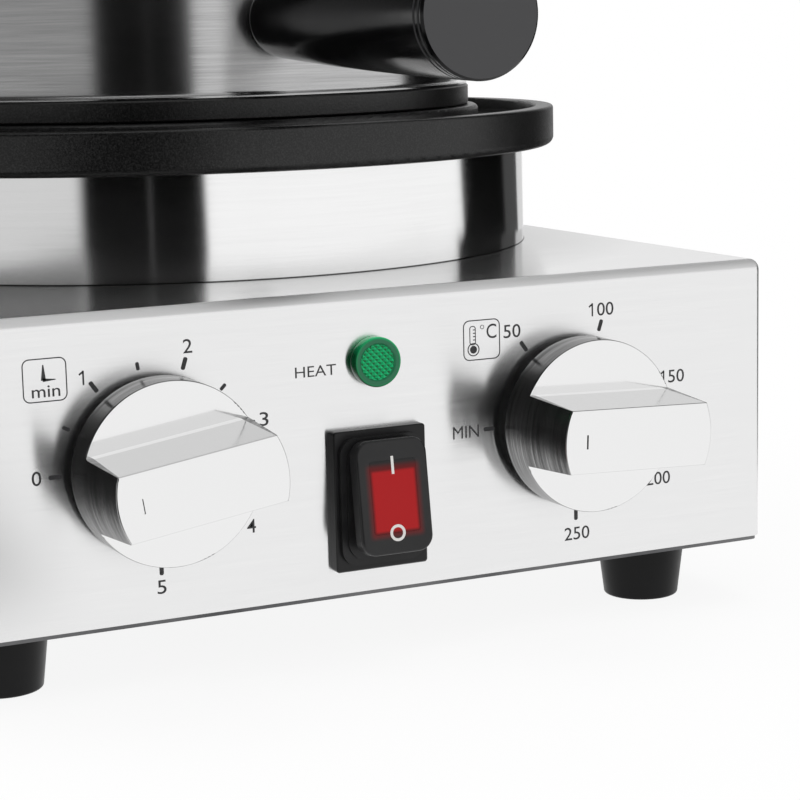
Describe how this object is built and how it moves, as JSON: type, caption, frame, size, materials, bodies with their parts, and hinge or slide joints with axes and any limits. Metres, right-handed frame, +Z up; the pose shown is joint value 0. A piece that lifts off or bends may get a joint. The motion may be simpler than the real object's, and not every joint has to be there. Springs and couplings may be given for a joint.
{
  "type": "belgian waffle maker",
  "caption": "Counter-top round belgian waffle maker: steel box with timer, thermostat, lamp and booted switch, cast plates, hinged lid drum with handle.",
  "frame": {"origin": "on the table, under the centre of the whole object's box", "axes": "+Z up, -Y to the user (front panel and handle), +X to the user's right"},
  "size_m": [0.2444, 0.384, 0.21],
  "materials": {
    "panel_steel": "pale stainless sheet with a fine horizontal grain",
    "drum_steel": "rolled stainless sheet, grain round the drum",
    "lid_steel": "deep-drawn stainless sheet, lightly brushed",
    "bottom_steel": "zinc-coated sheet",
    "plate_iron": "black non-stick coated casting, sandy texture",
    "handle_black": "black phenolic, polished, matte end face",
    "knob_metal": "satin silver die-casting",
    "foot_rubber": "black rubber",
    "boot_rubber": "black silicone rubber, satin",
    "bezel_plastic": "black moulded plastic",
    "red_lens": "red translucent plastic",
    "green_lens": "green translucent plastic, moulded facets",
    "hinge_steel": "plain stainless steel",
    "fastener_steel": "bright zinc-plated steel",
    "element_sheath": "dull nickel-alloy sheath",
    "shield_aluminium": "mill-finish aluminium sheet",
    "mineral_wool": "off-white mineral wool board",
    "control_plastic": "dark heat-proof plastic",
    "ceramic_white": "white steatite",
    "capillary_copper": "copper",
    "wire_sleeve": "pale silicone insulation",
    "gland_plastic": "black nylon"
  },
  "bodies": {
    "base": {"base_shell": "panel_steel", "base_bottom_plate": "bottom_steel", "bottom_plate_screws": "fastener_steel", "foot_screws": "fastener_steel", "foot_nuts": "fastener_steel", "lower_drum": "drum_steel", "lower_plate": "plate_iron", "lower_plate_studs": "fastener_steel", "lower_plate_nuts": "fastener_steel", "lower_heating_element": "element_sheath", "lower_element_clamp": "hinge_steel", "lower_heat_shield": "shield_aluminium", "lower_insulation": "mineral_wool", "thermostat_body": "control_plastic", "thermostat_capillary": "capillary_copper", "timer_body": "control_plastic", "control_screws": "fastener_steel", "lamp_lens": "green_lens", "lamp_body": "control_plastic", "lamp_clip": "fastener_steel", "switch_bezel": "bezel_plastic", "switch_boot_skirt": "boot_rubber", "switch_body": "control_plastic", "terminal_block": "ceramic_white", "earth_terminal": "fastener_steel", "cable_gland": "gland_plastic", "gland_nut": "gland_plastic", "internal_wires": "wire_sleeve", "base_lead_grommet": "foot_rubber", "hinge_bracket": "hinge_steel", "hinge_bracket_screws": "fastener_steel", "hinge_bracket_nuts": "fastener_steel", "hinge_pin": "fastener_steel", "hinge_pin_clips": "fastener_steel", "foot_front_left": "foot_rubber", "foot_front_right": "foot_rubber", "foot_rear_left": "foot_rubber", "foot_rear_right": "foot_rubber"},
    "lid": {"lid_shell": "lid_steel", "upper_plate": "plate_iron", "upper_heating_element": "element_sheath", "upper_element_clamp": "hinge_steel", "lid_heat_shield": "shield_aluminium", "lid_insulation": "mineral_wool", "lid_bridge": "hinge_steel", "upper_plate_studs": "fastener_steel", "upper_plate_nuts": "fastener_steel", "lid_hinge_arm": "hinge_steel", "lid_hinge_screws": "fastener_steel", "lid_lead_grommet": "foot_rubber", "handle_grip": "handle_black", "handle_bolt": "fastener_steel", "handle_spacer": "fastener_steel", "handle_nut": "fastener_steel"},
    "timer_knob_body": {"timer_knob": "knob_metal", "timer_shaft": "fastener_steel"},
    "thermostat_knob_body": {"thermostat_knob": "knob_metal", "thermostat_shaft": "fastener_steel"},
    "rocker_body": {"rocker_cap": "boot_rubber", "rocker_lens": "red_lens"}
  },
  "joints": [
    {"name": "lid_hinge", "type": "hinge", "parent": "base", "child": "lid", "pos_m": [0, 0.1545, 0.145], "axis": [-1, 0, 0], "range_deg": [0, 95]},
    {"name": "timer_turn", "type": "hinge", "parent": "base", "child": "timer_knob_body", "pos_m": [-0.0605, -0.128, 0.0589], "axis": [0, 1, 0], "range_deg": [0, 278.6]},
    {"name": "thermostat_turn", "type": "hinge", "parent": "base", "child": "thermostat_knob_body", "pos_m": [0.0605, -0.128, 0.0589], "axis": [0, 1, 0], "range_deg": [-2.2, 267.8]},
    {"name": "rocker_press", "type": "hinge", "parent": "base", "child": "rocker_body", "pos_m": [0, -0.125, 0.04425], "axis": [1, 0, 0], "range_deg": [0, 16]}
  ]
}
